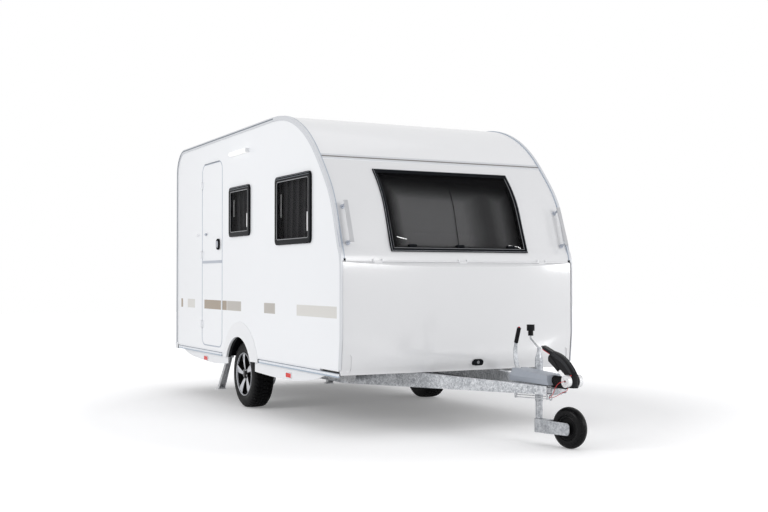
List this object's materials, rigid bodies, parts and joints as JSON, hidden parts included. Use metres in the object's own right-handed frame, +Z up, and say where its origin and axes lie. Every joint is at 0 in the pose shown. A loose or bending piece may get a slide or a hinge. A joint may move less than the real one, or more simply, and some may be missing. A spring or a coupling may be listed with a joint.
{
  "type": "travel caravan",
  "caption": "Towed touring caravan with a hollow cabin, side door, front gas locker, tapered drawbar, overrun coupling, jockey wheel and corner steadies.",
  "frame": {"origin": "on the ground under the middle of the whole caravan, coupling included", "axes": "+X forward to the coupling, +Y to the left side, +Z up"},
  "size_m": [5.887, 2.262, 2.7161],
  "materials": {
    "white_panel": "smooth gloss white",
    "front_panel": "satin gloss pale grey-white",
    "floor_board": "dark sealed board",
    "light_metal": "satin light metal",
    "black_trim": "satin black moulding",
    "tinted_pane": "dark tinted acrylic",
    "curtain": "grey woven cloth",
    "lamp_lens": "moulded lens",
    "galvanised": "hot-dip galvanised, spangled",
    "grey_cover": "grey moulded plastic",
    "rubber": "matt black rubber",
    "tyre": "matt black tread rubber",
    "wheel_alloy": "black cast alloy with bright faces",
    "bright_steel": "bright plated steel",
    "dark_cast": "black painted casting",
    "red_cable": "red sheathed steel cable"
  },
  "bodies": {
    "root": {"right_wall": "white_panel", "left_wall": "white_panel", "roof": "front_panel", "rear_wall": "white_panel", "front_wall": "front_panel", "floor": "floor_board", "locker_bulkhead": "floor_board", "edge_rails": "light_metal", "window_frames": "black_trim", "window_panes": "tinted_pane", "side_curtains": "curtain", "front_blind": "curtain", "door_hinges": "light_metal", "wheel_arches": "white_panel", "wheel_boxes": "black_trim", "skirt_rails": "light_metal", "lower_covers": "white_panel", "lamps": "lamp_lens", "rear_bumper": "white_panel", "grab_handles": "light_metal", "roof_hatch": "white_panel", "axle": "galvanised", "chassis_frame": "galvanised", "drawbar_beams": "galvanised", "overrun_housing": "galvanised", "drawbar_cover": "grey_cover", "bellows": "rubber", "coupling_head": "dark_cast", "friction_pads": "bright_steel", "breakaway_cable": "red_cable", "stabiliser_handle": "black_trim", "handbrake_lever": "galvanised", "hand_grips": "black_trim", "jockey_outer_tube": "galvanised"},
    "wheel_right": {"tyre_right": "tyre", "rim_right": "wheel_alloy"},
    "wheel_left": {"tyre_left": "tyre", "rim_left": "wheel_alloy"},
    "door": {"door_leaf": "white_panel", "door_handle": "black_trim", "door_trim": "light_metal"},
    "lid": {"locker_lid": "front_panel", "locker_lock": "black_trim"},
    "jockey_leg": {"jockey_inner_tube": "galvanised"},
    "jockey_caster": {"jockey_fork": "galvanised"},
    "jockey_roller": {"jockey_tyre": "tyre", "jockey_rim": "dark_cast"},
    "rear_right_steady": {"steady_rear_right": "galvanised"},
    "rear_left_steady": {"steady_rear_left": "galvanised"},
    "front_right_steady": {"steady_front_right": "galvanised"},
    "front_left_steady": {"steady_front_left": "galvanised"}
  },
  "joints": [
    {"name": "wheel_right_spin", "type": "hinge", "parent": "root", "child": "wheel_right", "pos_m": [-0.8585, -0.9325, 0.318], "axis": [0, 1, 0], "continuous": true},
    {"name": "wheel_left_spin", "type": "hinge", "parent": "root", "child": "wheel_left", "pos_m": [-0.8585, 0.9325, 0.318], "axis": [0, 1, 0], "continuous": true},
    {"name": "door_swing", "type": "hinge", "parent": "root", "child": "door", "pos_m": [-2.0025, -1.11, 1.485], "axis": [0, 0, -1], "range_deg": [0, 170]},
    {"name": "lid_lift", "type": "hinge", "parent": "root", "child": "lid", "pos_m": [1.4391, 0, 1.37398], "axis": [0, -1, 0], "range_deg": [0, 85]},
    {"name": "jockey_slide", "type": "slide", "parent": "root", "child": "jockey_leg", "axis": [0, 0, 1], "range_m": [-0.09, 0.06]},
    {"name": "jockey_swivel", "type": "hinge", "parent": "jockey_leg", "child": "jockey_caster", "pos_m": [2.3585, 0.098, 0.19], "axis": [0, 0, 1], "continuous": true},
    {"name": "jockey_spin", "type": "hinge", "parent": "jockey_caster", "child": "jockey_roller", "pos_m": [2.65692, 0.15601, 0.152], "axis": [-0.1908, 0.9816, 0], "continuous": true},
    {"name": "rear_right_steady_swing", "type": "hinge", "parent": "root", "child": "rear_right_steady", "pos_m": [-2.3665, -0.665, 0.385], "axis": [0, 1, 0], "range_deg": [0, 52.92]},
    {"name": "rear_left_steady_swing", "type": "hinge", "parent": "root", "child": "rear_left_steady", "pos_m": [-2.3665, 0.665, 0.385], "axis": [0, 1, 0], "range_deg": [0, 52.92]},
    {"name": "front_right_steady_swing", "type": "hinge", "parent": "root", "child": "front_right_steady", "pos_m": [0.2315, -0.665, 0.385], "axis": [0, 1, 0], "range_deg": [0, 52.92]},
    {"name": "front_left_steady_swing", "type": "hinge", "parent": "root", "child": "front_left_steady", "pos_m": [0.2315, 0.665, 0.385], "axis": [0, 1, 0], "range_deg": [0, 52.92]}
  ]
}
